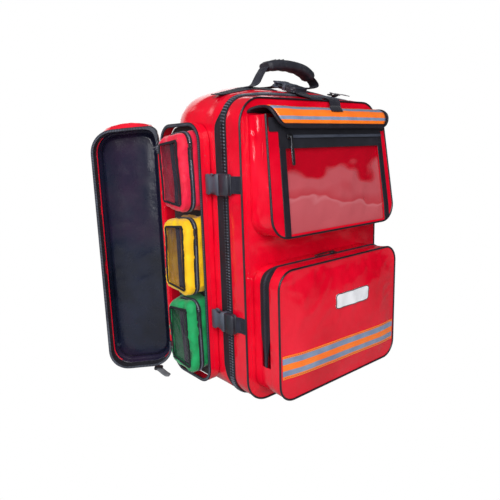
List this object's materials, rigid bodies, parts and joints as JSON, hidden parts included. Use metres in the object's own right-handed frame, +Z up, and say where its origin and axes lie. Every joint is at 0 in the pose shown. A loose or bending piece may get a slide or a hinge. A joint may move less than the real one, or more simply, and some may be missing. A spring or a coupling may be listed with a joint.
{
  "type": "trauma backpack",
  "caption": "Upright first-aid rucksack of coated red tarpaulin with a hinged front lid, document pocket with flap, folding lower pocket and an open padded side pocket holding zipped pouches.",
  "frame": {"origin": "on the ground under the middle of the main bag", "axes": "+X to the right of the bag seen from the front, +Y from the front lid towards the wearer's back, +Z up"},
  "size_m": [0.5012, 0.41, 0.6401],
  "materials": {
    "red_vinyl": "glossy coated tarpaulin",
    "black_webbing": "woven webbing",
    "black_padding": "padded mesh cloth",
    "zip_tape": "woven zip tape with moulded teeth",
    "black_piping": "satin piping",
    "buckle_plastic": "satin moulded plastic",
    "slider_metal": "dark coated metal",
    "pull_rubber": "matt moulded rubber",
    "grip_rubber": "matt moulded rubber",
    "flap_lining": "coated cloth with bound edge",
    "reflective_tape": "orange and silver retroreflective tape",
    "blank_label": "smooth blank patch",
    "clear_vinyl": "clear glossy sheet",
    "door_padding": "glossy padded lining",
    "pouch_red": "matt nylon",
    "pouch_yellow": "matt nylon",
    "pouch_green": "matt nylon"
  },
  "bodies": {
    "shell": {"main_shell": "red_vinyl", "main_zip_rear": "zip_tape", "hinge_strip": "red_vinyl", "divider": "black_padding", "back_panel": "black_padding", "shoulder_strap_left": "black_padding", "shoulder_strap_right": "black_padding", "strap_web_left": "black_webbing", "strap_web_right": "black_webbing", "chest_strap": "black_webbing", "pod_wall": "red_vinyl", "pod_zip": "zip_tape", "buckle_socket_upper": "buckle_plastic", "buckle_socket_lower": "buckle_plastic", "buckle_socket_top": "buckle_plastic", "handle_patch_left": "black_webbing", "handle_patch_right": "black_webbing", "top_web": "black_webbing"},
    "front_lid": {"lid_front": "red_vinyl", "lid_gusset": "red_vinyl", "lid_piping": "black_piping", "main_zip_front": "zip_tape", "buckle_tongue_upper": "buckle_plastic", "buckle_tongue_lower": "buckle_plastic", "buckle_tongue_top": "buckle_plastic", "lid_web_upper": "black_webbing", "lid_web_lower": "black_webbing", "lid_web_top": "black_webbing", "doc_gusset": "red_vinyl", "doc_face": "red_vinyl", "doc_window": "clear_vinyl", "doc_piping": "black_piping", "doc_zip_band": "zip_tape", "low_flange": "red_vinyl"},
    "carry_handle": {"handle_web": "black_webbing", "handle_grip": "grip_rubber"},
    "main_slider": {"main_slider": "slider_metal"},
    "doc_slider": {"doc_slider": "slider_metal"},
    "doc_flap": {"flap": "flap_lining", "flap_tape": "reflective_tape", "flap_strap": "black_webbing"},
    "low_cover": {"low_cover": "red_vinyl", "low_zip": "zip_tape", "low_piping": "black_piping", "low_tape": "reflective_tape", "low_label": "blank_label"},
    "low_slider": {"low_slider": "slider_metal"},
    "side_door": {"door_shell": "red_vinyl", "door_lining": "door_padding", "door_zip": "zip_tape"},
    "door_slider": {"door_slider": "pull_rubber"},
    "pouch_red": {"pouch_red_tub": "pouch_red"},
    "pouch_red_lid": {"pouch_red_cover": "pouch_red", "pouch_red_window": "clear_vinyl"},
    "pouch_yellow": {"pouch_yellow_tub": "pouch_yellow"},
    "pouch_yellow_lid": {"pouch_yellow_cover": "pouch_yellow", "pouch_yellow_window": "clear_vinyl"},
    "pouch_green": {"pouch_green_tub": "pouch_green"},
    "pouch_green_lid": {"pouch_green_cover": "pouch_green", "pouch_green_window": "clear_vinyl"}
  },
  "joints": [
    {"name": "lid_hinge", "type": "hinge", "parent": "shell", "child": "front_lid", "pos_m": [0, -0.073, 0], "axis": [1, 0, 0], "range_deg": [0, 95]},
    {"name": "flap_hinge", "type": "hinge", "parent": "front_lid", "child": "doc_flap", "pos_m": [0, -0.129, 0.535], "axis": [-1, 0, 0], "range_deg": [0, 80]},
    {"name": "low_cover_hinge", "type": "hinge", "parent": "front_lid", "child": "low_cover", "pos_m": [0, -0.1382, 0.024], "axis": [1, 0, 0], "range_deg": [0, 60]},
    {"name": "door_hinge", "type": "hinge", "parent": "shell", "child": "side_door", "pos_m": [-0.2084, 0.106, 0], "axis": [0, 0, -1], "range_deg": [-130, 10]},
    {"name": "handle_swing", "type": "hinge", "parent": "shell", "child": "carry_handle", "pos_m": [0, -0.028, 0.59865], "axis": [1, 0, 0], "range_deg": [-50, 50]},
    {"name": "main_zip_run", "type": "slide", "parent": "shell", "child": "main_slider", "axis": [1, 0, 0], "range_m": [-0.06, 0.03]},
    {"name": "doc_zip_run", "type": "slide", "parent": "front_lid", "child": "doc_slider", "axis": [1, 0, 0], "range_m": [0, 0.23]},
    {"name": "low_zip_run", "type": "slide", "parent": "low_cover", "child": "low_slider", "axis": [1, 0, 0], "range_m": [-0.08, 0.1]},
    {"name": "door_zip_run", "type": "slide", "parent": "side_door", "child": "door_slider", "axis": [-0.766, 0.6428, 0], "range_m": [0, 0.06]},
    {"name": "pouch_red_pull", "type": "slide", "parent": "shell", "child": "pouch_red", "axis": [-1, 0, 0], "range_m": [0, 0.07]},
    {"name": "pouch_red_lid_hinge", "type": "hinge", "parent": "pouch_red", "child": "pouch_red_lid", "pos_m": [-0.219, 0.0704, 0], "axis": [0, 0, -1], "range_deg": [0, 110]},
    {"name": "pouch_yellow_pull", "type": "slide", "parent": "shell", "child": "pouch_yellow", "axis": [-1, 0, 0], "range_m": [0, 0.07]},
    {"name": "pouch_yellow_lid_hinge", "type": "hinge", "parent": "pouch_yellow", "child": "pouch_yellow_lid", "pos_m": [-0.219, 0.0704, 0], "axis": [0, 0, -1], "range_deg": [0, 110]},
    {"name": "pouch_green_pull", "type": "slide", "parent": "shell", "child": "pouch_green", "axis": [-1, 0, 0], "range_m": [0, 0.07]},
    {"name": "pouch_green_lid_hinge", "type": "hinge", "parent": "pouch_green", "child": "pouch_green_lid", "pos_m": [-0.219, 0.0704, 0], "axis": [0, 0, -1], "range_deg": [0, 110]}
  ]
}
